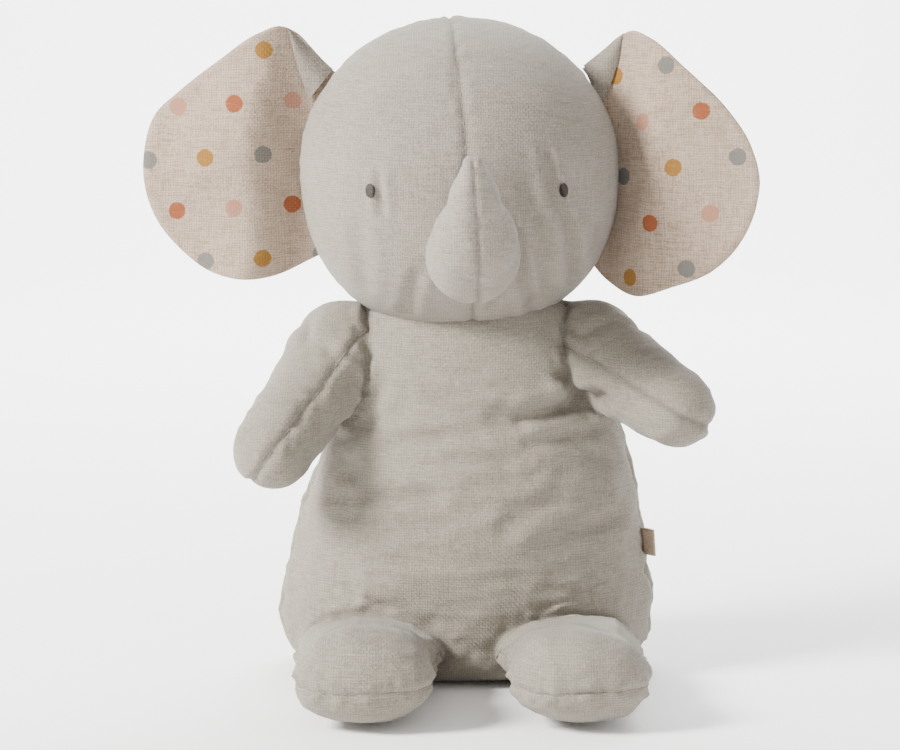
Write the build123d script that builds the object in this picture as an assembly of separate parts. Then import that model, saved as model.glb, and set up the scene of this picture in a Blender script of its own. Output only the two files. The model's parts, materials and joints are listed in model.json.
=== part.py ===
from build123d import *
import os
from math import acos, cos, radians, sin, tan

# Stuffed elephant, seated.  Millimetres, +Z up, the face looks along -Y.
# The origin is the middle of the flat seat.  Left and right are the toy's own:
# left is +X, right is -X.

# ---------------------------------------------------------------- cloth
CLOTH = 1.2            # one layer of linen with its seam allowance
EASE = 0.25            # between the cloth and the filling
SEAM_GAP = 1.0         # between the edges of two panels
THREAD = 0.7           # width and height of a line of stitches
THREAD_DEPTH = 0.2     # how far a stitch line lies below the cloth
BIG = 400.0            # size of the blocks that cut the forms

# ---------------------------------------------------------------- neck
NECK = (1.2, 0.0, 132.0)       # the point that the head turns and nods about
NECK_BALL_R = 14.0
NECK_SOCKET_R = 15.0
NECK_SEAM_R = 33.0
HEAD_REST_TURN = 3.0           # the head looks slightly to its own left
HEAD_REST_TILT = -4.0          # and leans slightly to its own right
HEAD_UNDERSIDE = 14.5          # degrees, room for the nod under the head

# ---------------------------------------------------------------- head
HEAD_HALF_WIDTH = 59.5
HEAD_RADIUS = 55.5
HEAD_UP = 56.0                 # head centre above the neck point
EYE_X = 34.0
EYE_UP = 50.0
EYE_LEVEL = 2.4                # the eyes stay level while the head leans by this much at each
EYE_WIDTH = 4.6
EYE_HEIGHT = 5.4
EYE_PROUD = 0.9

# ---------------------------------------------------------------- trunk
TRUNK_PIVOT = (0.0, -64.0, 33.0)   # in the head's frame
TRUNK_RISE = 40.0                  # degrees above level
TRUNK_R = 15.0
TRUNK_TIP_R = 4.0
TRUNK_LENGTH = 46.0                # from the pivot to the middle of the tip
TRUNK_SOCKET_R = 15.9
TRUNK_ROOT_BACK = 30.0
TRUNK_ROOT_START = 5.0
TRUNK_ROOT_R = 17.3
TRUNK_ROOT_SPREAD = 5.0

# ---------------------------------------------------------------- ears
EAR_LAYER = 1.4
EAR_LAYER_GAP = 0.2
EAR_ROOT = {"left": (57.2, 0.0, 184.0), "right": (-62.2, 0.0, 188.0)}
EAR_FORWARD = {"left": 25.0, "right": 0.0}
EAR_LEAN = {"left": 5.0, "right": 0.0}
# outline from the root's lower end round to its upper end: outward, up
EAR_OUTLINE = [(-7, -32), (10, -40.5), (27, -41), (46, -31), (57, -13), (58, 5),
               (51, 22), (34, 38.5), (17, 50), (7, 51), (-3, 27)]
EAR_ROOT_MIDDLE = (1.2, 0)

# ---------------------------------------------------------------- body
# height, half width, half depth
BODY_SECTIONS = [(0, 53, 36), (8, 65, 43), (24, 70, 46), (50, 66.5, 45),
                 (85, 56, 40), (112, 46, 34), (128, 37, 29)]
SIDE_SEAM_Y = -6.0
SIDE_SEAM_FOOT = 4.0           # the side seams stop this far above the seat

# ---------------------------------------------------------------- arms
SHOULDER = {"left": (47.0, -8.0, 118.5), "right": (-46.0, -5.0, 118.5)}
ARM_PRESS = 5.0                # degrees that the arm can press in below its rest place
ARM_ROOM = 0.8                 # between an arm and the hollow that it lies in
HAND = {"left": (75.0, -50.0, 104.0), "right": (-70.0, -42.0, 88.0)}
ARM_R = 16.5
HAND_R = 14.0
ARM_SOCKET_R = 17.3

# ---------------------------------------------------------------- legs
HIP_Y = -32.0
LEG_R = 20.5                   # at the hip, also the hip's height
FOOT_R = 17.0
FOOT_Y = -90.0
LEG_X = {"left": 38.5, "right": -36.0}
LEG_HALF_WIDTH = 25.0
LEG_ROUND = 14.0
LEG_SEAM_Z = 15.0
HIP_SOCKET_R = 21.4
BELLY_CLEAR = 3.6              # room over the leg for lifting it
CROTCH_HALF = 9.5              # half width of the body between the legs

# ---------------------------------------------------------------- label
LABEL_HEIGHT = 10.0
LABEL_OUT = 6.0
LABEL_THICK = 1.2
LABEL_Z = 48.0
LABEL_ROOT_X = 68.4
LABEL_FORWARD = 40.0          # degrees from straight out

SIGN = {"left": 1.0, "right": -1.0}


def save(node, shape):
    """Write one sub-part to its own file."""
    export_step(shape, "parts/" + node + ".step")


def block(x0, x1, y0, y1, z0, z1):
    """A box given by its faces."""
    middle = ((x0 + x1) / 2, (y0 + y1) / 2, (z0 + z1) / 2)
    return Pos(*middle) * Box(x1 - x0, y1 - y0, z1 - z0)


def beyond_x(x, side):
    """Everything past x on one side."""
    return block(x, BIG, -BIG, BIG, -BIG, BIG) if side > 0 else block(-BIG, x, -BIG, BIG, -BIG, BIG)


def beyond_y(y, side):
    """Everything past y on one side."""
    return block(-BIG, BIG, y, BIG, -BIG, BIG) if side > 0 else block(-BIG, BIG, -BIG, y, -BIG, BIG)


def beyond_z(z, side):
    """Everything past z on one side."""
    return block(-BIG, BIG, -BIG, BIG, z, BIG) if side > 0 else block(-BIG, BIG, -BIG, BIG, -BIG, z)


def tapered_form(root_r, tip_r, length, inset):
    """A padded limb along +X: a ball at the root, a smaller ball at the tip."""
    root = root_r - inset
    tip = tip_r - inset
    lean = acos((root - tip) / length)
    root_edge = (root * cos(lean), root * sin(lean))
    tip_edge = (length + tip * cos(lean), tip * sin(lean))
    root_side = (-root * cos(lean / 2), root * sin(lean / 2))
    tip_side = (length + tip * cos(lean / 2), tip * sin(lean / 2))
    outline = Curve() + [
        ThreePointArc((-root, 0), root_side, root_edge),
        Line(root_edge, tip_edge),
        ThreePointArc(tip_edge, tip_side, (length + tip, 0)),
        Line((length + tip, 0), (-root, 0)),
    ]
    return revolve(make_face(outline), axis=Axis.X)


# ---------------------------------------------------------------- head frame

def head_place(shape):
    """Put a shape made in the head's frame where the head sits at rest."""
    return Pos(*NECK) * Rot(0, 0, HEAD_REST_TURN) * Rot(0, HEAD_REST_TILT, 0) * shape


def head_ball(inset):
    """The head's rounded form, slightly wider than high."""
    radius = HEAD_RADIUS - inset
    widen = (HEAD_HALF_WIDTH - inset) / radius
    return Pos(0, 0, HEAD_UP) * scale(Sphere(radius), by=(widen, 1, 1))


def trunk_place(shape):
    """Put a shape made along +X from the trunk's pivot into the head's frame."""
    return Pos(*TRUNK_PIVOT) * Rot(0, 0, -90) * Rot(0, -TRUNK_RISE, 0) * shape


def trunk_root(inset):
    """The collar of the face that runs out into the trunk."""
    start = -TRUNK_ROOT_START
    back = -TRUNK_ROOT_BACK
    profile = Polyline(
        (back, 0), (start, 0), (start, TRUNK_ROOT_R - inset),
        (back, TRUNK_ROOT_R + TRUNK_ROOT_SPREAD - inset), (back, 0),
    )
    return trunk_place(revolve(make_face(profile), axis=Axis.X))


def neck_cone():
    """The space that the head leaves free under it, so that it can nod."""
    rise = BIG * tan(radians(HEAD_UNDERSIDE))
    profile = Polyline((0, 0), (BIG, rise), (BIG, -BIG), (0, -BIG), (0, 0))
    return Pos(*NECK) * revolve(Plane.XZ * make_face(profile), axis=Axis.Z)


def head_ring(plane, half_width, radius):
    """A line of stitches round the head, in a plane through its middle."""
    outer = Ellipse(half_width - THREAD_DEPTH, radius - THREAD_DEPTH)
    inner = Ellipse(half_width - THREAD_DEPTH - THREAD, radius - THREAD_DEPTH - THREAD)
    return Pos(0, 0, HEAD_UP) * extrude(plane * (outer - inner), THREAD / 2, both=True)


def save_head(node, shape):
    """Put a part of the head in its place, clear of the neck, and write it."""
    save(node, head_place(shape) - neck_cone() - Pos(*NECK) * Sphere(NECK_SOCKET_R))


def head_form(inset):
    """The head with the collar of the trunk, less the hollow that the trunk turns in."""
    return head_ball(inset) + trunk_root(inset) - trunk_place(Sphere(TRUNK_SOCKET_R))


def make_head():
    """Four panels of the head's cover, its filling, eyes and seams."""
    cover = head_form(0) - head_form(CLOTH)
    for side, sign in SIGN.items():
        for place, way in (("front", -1), ("back", 1)):
            edge_x = sign * SEAM_GAP / 2
            edge_y = way * SEAM_GAP / 2
            panel = cover & beyond_x(edge_x, sign) & beyond_y(edge_y, way)
            save_head("head_" + place + "_" + side + "_panel", panel)
    save_head("head_stuffing", head_form(CLOTH + EASE))

    hole_r = TRUNK_ROOT_R + TRUNK_ROOT_SPREAD + SEAM_GAP
    trunk_hole = trunk_place(Rot(0, 90, 0) * Cylinder(hole_r, 4 * TRUNK_ROOT_R))
    centre = head_ring(Plane.YZ, HEAD_RADIUS, HEAD_RADIUS) - trunk_hole
    save_head("head_centre_seam", centre)
    crown = head_ring(Plane.XZ, HEAD_HALF_WIDTH, HEAD_RADIUS)
    crown = crown - block(-SEAM_GAP, SEAM_GAP, -BIG, BIG, HEAD_UP, BIG)
    save_head("head_crown_seam", crown)

    eye_skin = head_ball(-EYE_PROUD) - head_ball(-0.05)
    for side, sign in SIGN.items():
        punch = Plane.XZ * Pos(sign * EYE_X, EYE_UP - sign * EYE_LEVEL) * Ellipse(EYE_WIDTH / 2, EYE_HEIGHT / 2)
        eye = eye_skin & extrude(punch, HEAD_RADIUS * 1.5)
        save("eye_" + side, head_place(eye))


def make_trunk():
    """The free end of the trunk: two halves of cover, filling and seam."""
    outside = tapered_form(TRUNK_R, TRUNK_TIP_R, TRUNK_LENGTH, 0)
    inside = tapered_form(TRUNK_R, TRUNK_TIP_R, TRUNK_LENGTH, CLOTH)
    cover = outside - inside
    for side, sign in SIGN.items():
        half = cover & beyond_y(sign * SEAM_GAP / 2, sign)
        save("trunk_" + side + "_panel", head_place(trunk_place(half)))
    filling = tapered_form(TRUNK_R, TRUNK_TIP_R, TRUNK_LENGTH, CLOTH + EASE)
    save("trunk_stuffing", head_place(trunk_place(filling)))
    line = tapered_form(TRUNK_R, TRUNK_TIP_R, TRUNK_LENGTH, THREAD_DEPTH)
    line = line - tapered_form(TRUNK_R, TRUNK_TIP_R, TRUNK_LENGTH, THREAD_DEPTH + THREAD)
    seam = line & block(-BIG, BIG, -THREAD / 2, THREAD / 2, -BIG, BIG)
    save("trunk_seam", head_place(trunk_place(seam)))


def make_neck():
    """The wad of filling in the neck, and the seam round it."""
    save("neck_stuffing", Pos(*NECK) * Sphere(NECK_BALL_R))
    save("neck_seam", Pos(*NECK) * Torus(NECK_SEAM_R, THREAD))


def make_ears():
    """Each ear is a patterned lining and a plain back, sewn round the edge."""
    edge = Spline(*EAR_OUTLINE)
    root = ThreePointArc(EAR_OUTLINE[-1], EAR_ROOT_MIDDLE, EAR_OUTLINE[0])
    face = Plane.XZ * make_face(Curve() + [edge, root])
    lining = extrude(face, EAR_LAYER)
    lining = Pos(0, -EAR_LAYER_GAP / 2, 0) * lining
    back = mirror(lining, about=Plane.XZ)
    for side, sign in SIGN.items():
        for name, layer in (("lining", lining), ("back", back)):
            shape = layer if sign > 0 else mirror(layer, about=Plane.YZ)
            turn = Rot(0, 0, -sign * EAR_FORWARD[side]) * Rot(0, sign * EAR_LEAN[side], 0)
            save("ear_" + side + "_" + name, Pos(*EAR_ROOT[side]) * turn * shape)


def arm_frame(side):
    """The arm's own frame, +X from shoulder to hand and +Z outward, and its length."""
    shoulder = Vector(*SHOULDER[side])
    along = Vector(*HAND[side]) - shoulder
    outward = Vector(0, 1, 0).cross(along) * SIGN[side]
    return Plane(origin=shoulder, x_dir=along, z_dir=outward), along.length


def body_form(inset):
    """The pear-shaped body, smaller all round by inset."""
    faces = []
    last = len(BODY_SECTIONS) - 1
    for index, (height, half_width, half_depth) in enumerate(BODY_SECTIONS):
        shift = inset if index == 0 else -inset if index == last else 0
        plane = Plane.XY.offset(height + shift)
        faces.append(plane * Ellipse(half_width - inset, half_depth - inset))
    return loft(faces)


def body_hollows():
    """Where the neck, the arms and the legs sit in the body."""
    hollows = [Pos(*NECK) * Sphere(NECK_SOCKET_R)]
    for side, sign in SIGN.items():
        hollows.append(Pos(*SHOULDER[side]) * Sphere(ARM_SOCKET_R))
        frame, length = arm_frame(side)
        lying = frame * tapered_form(ARM_R + ARM_ROOM, HAND_R + ARM_ROOM, length, 0)
        pressed_axis = Axis(SHOULDER[side], (0, SIGN[side], 0))
        hollows.append(lying)
        hollows.append(lying.rotate(pressed_axis, ARM_PRESS))
        inner = sign * CROTCH_HALF
        outer = sign * BIG / 2
        low, high = min(inner, outer), max(inner, outer)
        barrel = Rot(0, 90, 0) * Cylinder(HIP_SOCKET_R, high - low)
        hollows.append(Pos((low + high) / 2, HIP_Y, LEG_R) * barrel)
        hollows.append(block(low, high, -BIG / 2, HIP_Y, -LEG_R, 2 * LEG_R + BELLY_CLEAR))
        hollows.append(block(low, high, HIP_Y, HIP_Y + HIP_SOCKET_R, -LEG_R, LEG_R))
    return hollows


def make_body():
    """Front and back panels of the body, the filling and the side seams."""
    cover = body_form(0) - body_form(CLOTH)
    filling = body_form(CLOTH + EASE)
    line = body_form(THREAD_DEPTH) - body_form(THREAD_DEPTH + THREAD)
    line = line & block(-BIG, BIG, SIDE_SEAM_Y - THREAD / 2, SIDE_SEAM_Y + THREAD / 2,
                        SIDE_SEAM_FOOT, BODY_SECTIONS[-1][0] - CLOTH)
    for hollow in body_hollows():
        cover = cover - hollow
        filling = filling - hollow
        line = line - hollow
    save("body_front_panel", cover & beyond_y(SIDE_SEAM_Y - SEAM_GAP / 2, -1))
    save("body_back_panel", cover & beyond_y(SIDE_SEAM_Y + SEAM_GAP / 2, 1))
    save("body_stuffing", filling)
    for side, sign in SIGN.items():
        save("body_" + side + "_side_seam", line & beyond_x(0, sign))


def make_arm(side):
    """One arm: front and back panels, the seam between them, the filling."""
    frame, length = arm_frame(side)
    cover = tapered_form(ARM_R, HAND_R, length, 0) - tapered_form(ARM_R, HAND_R, length, CLOTH)
    name = "arm_" + side
    save(name + "_back_panel", frame * (cover & beyond_z(SEAM_GAP / 2, 1)))
    save(name + "_front_panel", frame * (cover & beyond_z(-SEAM_GAP / 2, -1)))
    save(name + "_stuffing", frame * tapered_form(ARM_R, HAND_R, length, CLOTH + EASE))
    line = tapered_form(ARM_R, HAND_R, length, THREAD_DEPTH)
    line = line - tapered_form(ARM_R, HAND_R, length, THREAD_DEPTH + THREAD)
    save(name + "_seam", frame * (line & block(-BIG, BIG, -BIG, BIG, -THREAD / 2, THREAD / 2)))


def leg_form(inset):
    """A short leg lying forward: round at the hip and at the toes, flat below."""
    hip = (HIP_Y, LEG_R)
    foot = (FOOT_Y, FOOT_R)
    reach = HIP_Y - FOOT_Y
    slope = 2 * acos(reach / (reach ** 2 + (LEG_R - FOOT_R) ** 2) ** 0.5)
    hip_r = LEG_R - inset
    foot_r = FOOT_R - inset
    top_hip = (hip[0] - hip_r * sin(slope), hip[1] + hip_r * cos(slope))
    top_foot = (foot[0] - foot_r * sin(slope), foot[1] + foot_r * cos(slope))
    outline = Curve() + [
        Line(top_hip, top_foot),
        ThreePointArc(top_foot, (foot[0] - foot_r, foot[1]), (foot[0], foot[1] - foot_r)),
        Line((foot[0], inset), (hip[0], inset)),
        ThreePointArc((hip[0], inset), (hip[0] + hip_r, hip[1]), top_hip),
    ]
    half = LEG_HALF_WIDTH - inset
    solid = Pos(-half, 0, 0) * extrude(Plane.YZ * make_face(outline), 2 * half)
    rims = solid.faces().sort_by(Axis.X)
    edges = rims[0].edges() + rims[-1].edges()
    return fillet(edges, LEG_ROUND - inset)


def make_leg(side):
    """One leg: upper panel, sole panel, the seam between them, the filling."""
    place = Pos(LEG_X[side], 0, 0)
    cover = leg_form(0) - leg_form(CLOTH)
    name = "leg_" + side
    save(name + "_upper_panel", place * (cover & beyond_z(LEG_SEAM_Z + SEAM_GAP / 2, 1)))
    save(name + "_sole_panel", place * (cover & beyond_z(LEG_SEAM_Z - SEAM_GAP / 2, -1)))
    save(name + "_stuffing", place * leg_form(CLOTH + EASE))
    line = leg_form(THREAD_DEPTH) - leg_form(THREAD_DEPTH + THREAD)
    level = block(-BIG, BIG, -BIG, BIG, LEG_SEAM_Z - THREAD / 2, LEG_SEAM_Z + THREAD / 2)
    save(name + "_seam", place * (line & level))


def make_label():
    """A small folded tape, held in the left side seam and pointing forward."""
    half = LABEL_HEIGHT / 2
    tape = block(0, LABEL_OUT, -LABEL_THICK / 2, LABEL_THICK / 2, -half, half)
    save("label", Pos(LABEL_ROOT_X, SIDE_SEAM_Y, LABEL_Z) * Rot(0, 0, -LABEL_FORWARD) * tape)


os.makedirs("parts", exist_ok=True)
make_head()
make_trunk()
make_neck()
make_ears()
make_body()
make_label()
for limb_side in SIGN:
    make_arm(limb_side)
    make_leg(limb_side)
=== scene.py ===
import json
from math import cos, pi, radians, sin

import bmesh
import bpy
import numpy as np
from mathutils import Matrix, Vector


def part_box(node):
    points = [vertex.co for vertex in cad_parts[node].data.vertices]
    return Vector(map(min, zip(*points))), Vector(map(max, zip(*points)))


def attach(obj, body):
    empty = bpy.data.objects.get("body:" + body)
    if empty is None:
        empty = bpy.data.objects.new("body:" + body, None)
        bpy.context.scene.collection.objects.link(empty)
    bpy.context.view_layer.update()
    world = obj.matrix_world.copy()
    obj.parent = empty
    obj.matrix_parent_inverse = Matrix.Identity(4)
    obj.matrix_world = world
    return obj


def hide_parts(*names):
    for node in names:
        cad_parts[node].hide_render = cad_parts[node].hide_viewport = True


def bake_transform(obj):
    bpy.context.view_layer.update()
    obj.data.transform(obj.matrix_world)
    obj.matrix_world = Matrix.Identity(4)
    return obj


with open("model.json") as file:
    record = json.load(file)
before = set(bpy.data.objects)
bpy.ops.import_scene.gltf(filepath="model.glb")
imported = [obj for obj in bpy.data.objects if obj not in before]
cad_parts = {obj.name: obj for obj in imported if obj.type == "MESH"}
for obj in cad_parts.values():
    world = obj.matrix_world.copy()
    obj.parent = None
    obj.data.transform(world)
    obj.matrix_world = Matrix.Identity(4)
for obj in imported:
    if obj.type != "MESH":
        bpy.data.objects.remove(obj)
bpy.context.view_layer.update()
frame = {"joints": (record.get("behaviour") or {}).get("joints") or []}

# Shapes are worked out in millimetres and turned into metres when a mesh is made.
MM = 0.001
JOINTS = {joint["name"]: joint for joint in frame["joints"]}
SIGN = {"left": 1.0, "right": -1.0}


def joint_point(name):
    """A joint's place, in millimetres."""
    return np.array(JOINTS[name]["pos_m"], float) / MM


# ------------------------------------------------------------ places from the frame
NECK = joint_point("head_nod")
SHOULDER = {side: joint_point("arm_" + side + "_raise") for side in SIGN}
HIP = {side: joint_point("leg_" + side + "_lift") for side in SIGN}
EAR_ROOT = {side: joint_point("ear_" + side + "_flap") for side in SIGN}

HEAD_TURN = radians(3.0)
HEAD_TILT = radians(-4.0)
SEAM_Y = -6.0
LEG_SEAM_Z = 15.0
HAND_R = 14.0
HAND_FILL_R = 12.55        # the ball of filling at the hand, in the CAD
SHOULDER_R = 18.0
SHOULDER_LIFT = np.array([-0.5, 1.0, 2.0])
HAND = {}
for side in SIGN:
    low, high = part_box("arm_" + side + "_stuffing")
    x = (high.x if side == "left" else low.x) / MM - SIGN[side] * HAND_FILL_R
    HAND[side] = np.array([x, low.y / MM + HAND_FILL_R, low.z / MM + HAND_FILL_R])

turn = np.array([[cos(HEAD_TURN), -sin(HEAD_TURN), 0], [sin(HEAD_TURN), cos(HEAD_TURN), 0], [0, 0, 1]])
tilt = np.array([[cos(HEAD_TILT), 0, sin(HEAD_TILT)], [0, 1, 0], [-sin(HEAD_TILT), 0, cos(HEAD_TILT)]])
HEAD_AXES = turn @ tilt


def from_head(points):
    """From the head's own frame back into the row frame."""
    return points @ HEAD_AXES.T + NECK


# ------------------------------------------------------------ small tools
def smooth_step(value, low, high):
    """0 below low, 1 above high, smooth between."""
    t = np.clip((value - low) / (high - low), 0, 1)
    return t * t * (3 - 2 * t)


def smooth_min(a, b, width):
    """The lesser of two distances, rounded where they meet."""
    h = np.clip(0.5 + 0.5 * (b - a) / width, 0, 1)
    return b * (1 - h) + a * h - width * h * (1 - h)


def smooth_max(a, b, width):
    """The greater of two distances, rounded where they meet."""
    return -smooth_min(-a, -b, width)


def noise(points, scale, seed):
    """Smooth random values from -1 to 1, one for each point."""
    p = points / scale + np.array([17.3, 5.1, 9.7]) * (seed + 1)
    cell = np.floor(p).astype(np.int64)
    part = p - cell
    part = part * part * (3 - 2 * part)
    total = np.zeros(len(p))
    for corner in range(8):
        step = np.array([corner & 1, (corner >> 1) & 1, (corner >> 2) & 1])
        c = cell + step
        h = (c[:, 0] * 73856093) ^ (c[:, 1] * 19349663) ^ (c[:, 2] * 83492791) ^ (seed * 2654435761)
        h = (h ^ (h >> 13)) * 1274126177
        value = ((h ^ (h >> 16)) & 0xFFFF) / 32767.5 - 1
        weight = np.prod(np.where(step == 1, part, 1 - part), axis=1)
        total += value * weight
    return total


def round_cone(points, start, end, start_r, end_r):
    """Distance to a limb that tapers from one ball to another."""
    along = end - start
    t = np.clip((points - start) @ along / (along @ along), 0, 1)
    nearest = start + t[:, None] * along
    return np.linalg.norm(points - nearest, axis=1) - (start_r + (end_r - start_r) * t)


def curve_value(table, at):
    """A smooth curve through (position, value) pairs."""
    xs = np.array([row[0] for row in table], float)
    ys = np.array([row[1] for row in table], float)
    slopes = np.gradient(ys, xs)
    at = np.clip(at, xs[0], xs[-1])
    i = np.clip(np.searchsorted(xs, at) - 1, 0, len(xs) - 2)
    h = xs[i + 1] - xs[i]
    t = (at - xs[i]) / h
    a = (1 + 2 * t) * (1 - t) ** 2 * ys[i] + t * (1 - t) ** 2 * h * slopes[i]
    b = t * t * (3 - 2 * t) * ys[i + 1] + t * t * (t - 1) * h * slopes[i + 1]
    return a + b


# ------------------------------------------------------------ the body's form
# (height, value) pairs: half width, half depth and how far the middle stands to the left
BODY_WIDTH = [(0, 57), (4, 64), (12, 69), (25, 70.5), (46, 66.5), (68, 62.5), (87, 56),
              (100, 51.5), (112, 49), (124, 46.5), (134, 41), (144, 30)]
BODY_DEPTH = [(0, 38), (4, 43), (12, 46), (25, 47), (50, 45), (85, 40), (112, 35), (128, 30), (144, 22)]
BODY_SHIFT = [(0, 0), (25, 0), (60, 1.5), (87, 4), (112, 2), (134, 1.2), (144, 1.2)]
BODY_TOP = 141.0
SEAT_ROUND = 9.0
ARM_BLEND = 5.0
LEG_BLEND = 4.5
THIGH_FLATTEN = 0.50
FOOT_FLATTEN = 0.70
FOOT_Y = -101.0
FOOT_R = 17.4
THIGH_R = 12.8


def arm_along(side):
    along = HAND[side] - SHOULDER[side]
    return along / np.linalg.norm(along)


def arm_outward(side):
    out = np.cross([0.0, 1.0, 0.0], arm_along(side)) * SIGN[side]
    return out / np.linalg.norm(out)


def arm_distance(points, side):
    top = SHOULDER[side] + SHOULDER_LIFT * np.array([SIGN[side], 1, 1])
    return round_cone(points, top, HAND[side], SHOULDER_R, HAND_R)


def leg_distance(points, side):
    hip = HIP[side]
    toward_foot = smooth_step(-points[:, 1], -hip[1] + 8, -FOOT_Y - 12)
    flat = points - np.array([hip[0], hip[1], 0.0])
    flat[:, 0] *= THIGH_FLATTEN + (FOOT_FLATTEN - THIGH_FLATTEN) * toward_foot
    foot = np.array([0.0, FOOT_Y - hip[1], FOOT_R])
    return round_cone(flat, np.array([0.0, 0, THIGH_R]), foot, THIGH_R, FOOT_R)


def torso_distance(points):
    """The body alone."""
    x, y, z = points.T
    width = curve_value(BODY_WIDTH, z)
    depth = curve_value(BODY_DEPTH, z)
    shift = curve_value(BODY_SHIFT, z)
    form = (np.sqrt(((x - shift) / width) ** 2 + (y / depth) ** 2) - 1) * depth
    return smooth_max(form, z - BODY_TOP, SEAT_ROUND)


def body_distance(points):
    """The whole of the body, arms and legs as one rounded form."""
    form = torso_distance(points)
    for side in SIGN:
        form = smooth_min(form, arm_distance(points, side), ARM_BLEND)
        form = smooth_min(form, leg_distance(points, side), LEG_BLEND)
    return smooth_max(form, -points[:, 2], SEAT_ROUND)


def leg_seam(points, side):
    """Above 0 on the leg, past the crease where it comes out of the body."""
    return torso_distance(points) - leg_distance(points, side)


def arm_crease(points, side):
    """Above 0 on the arm, past the crease where it comes out of the body."""
    return torso_distance(points) - arm_distance(points, side)


def near_leg(points, side):
    """True for points in the space that holds a leg."""
    return (points[:, 1] < -22) & (points[:, 2] < 60) & (points[:, 0] * SIGN[side] > 1)


def near_arm(points, side):
    """True for points in the space that holds an arm."""
    return (points[:, 0] * SIGN[side] > 20) & (points[:, 2] > 62)


def in_leg(points, side):
    """True for the points that belong to a leg."""
    return near_leg(points, side) & (leg_seam(points, side) > 0)


def along_arm(points, side):
    """How far a point is along the arm from the shoulder."""
    return (points - SHOULDER[side]) @ arm_along(side)


def side_seam(points):
    """Below 0 on the body's front panel and above 0 on its back one."""
    return points[:, 1] - SEAM_Y + 1.5 * noise(points, 26.0, 3)


def arm_seam(points, side):
    """Below 0 on the arm's inner panel and above 0 on its outer one."""
    return (points - SHOULDER[side]) @ arm_outward(side) + 0.9 * noise(points, 14.0, 4)


def in_arm(points, side):
    """True for the points that belong to an arm."""
    return near_arm(points, side) & (arm_crease(points, side) > 0)


HIP_SEAM_LOW = 27.0
HIP_SEAM_RISE = 13.0
# folds of the body's front: (x, z) of both ends, depth, width
FRONT_FOLDS = [
    (50, 107, 36, 102, 3.4, 3.2), (36, 102, 20, 98, 3.2, 3.0), (20, 98, 8, 100, 2.2, 3.2),
    (6, 102, -14, 107, 1.3, 3.4), (40, 92, 22, 90, 1.4, 3.0), (-36, 71, -10, 70, 1.8, 3.0),
    (12, 57, 20, 66, 1.1, 3.6), (22, 63, 34, 72, 1.0, 3.6), (36, 55, 58, 61, 1.4, 3.2),
    (-46, 92, -34, 97, 1.7, 3.6), (44, 84, 58, 79, 1.3, 3.0),
    (-6, 85, 16, 81, 1.0, 3.2), (-30, 113, -35, 103, 1.4, 2.8), (34, 115, 41, 106, 2.0, 2.8),
    (-30, 88, -8, 92, 1.0, 3.0), (0, 74, 26, 78, 0.9, 2.6),
]
# creases of the legs, in the same terms
LEG_FOLDS = [
    (-50, 26, -32, 29, 0.8, 2.6), (28, 28, 54, 31, 0.9, 2.6), (56, 30, 64, 14, 1.2, 2.4),
]


def fold_depth(points, folds):
    """How deep the folds lie at each point, seen from the front."""
    flat = points[:, [0, 2]]
    total = np.zeros(len(points))
    for x0, z0, x1, z1, depth, width in folds:
        start = np.array([x0, z0], float)
        along = np.array([x1, z1], float) - start
        t = (flat - start) @ along / (along @ along)
        nearest = start + np.clip(t, 0, 1)[:, None] * along
        away = np.linalg.norm(flat - nearest, axis=1) + 0.5 * noise(points, 7.0, 8)
        ends = smooth_step(t, -0.35, 0.2) * smooth_step(-t, -1.35, -0.8)
        total += depth * ends * (groove(away, 1, width) - 0.45 * groove(away - 2 * width, 1, width))
    return total


def groove(distance, depth, width):
    return depth * np.exp(-(distance / width) ** 2)


def puckers(points, distance, size):
    """The small gathers that a line of stitches pulls into the cloth beside it."""
    near = np.exp(-(distance / 5.0) ** 2) * (1 - np.exp(-(distance / 0.8) ** 2))
    return size * near * noise(points, 3.2, 11)


def slack(points, size):
    """The soft unevenness of filled cloth."""
    return size * (noise(points, 34.0, 1) + 0.35 * noise(points, 16.0, 2) + 0.16 * noise(points, 6.0, 5))


def ridges(points, scale, seed):
    """Soft folds with narrow valleys, from about -1 to 1."""
    return 1 - 2.6 * np.abs(noise(points, scale, seed)) ** 0.8


def wrinkles(points):
    """Level folds of the slack cloth of the body, and folds across the limbs."""
    level = points * np.array([0.42, 0.55, 1.25])
    folds = 0.5 * ridges(level, 13.0, 31) + 0.34 * ridges(level, 6.5, 32)
    low = 1 - 0.45 * smooth_step(points[:, 2], 96, 118)
    upright = points * np.array([1.2, 0.6, 0.5])
    crinkle = 0.26 * ridges(upright, 8.0, 33) * (1 - smooth_step(points[:, 2], 30, 50))
    return low * folds + crinkle


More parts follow.
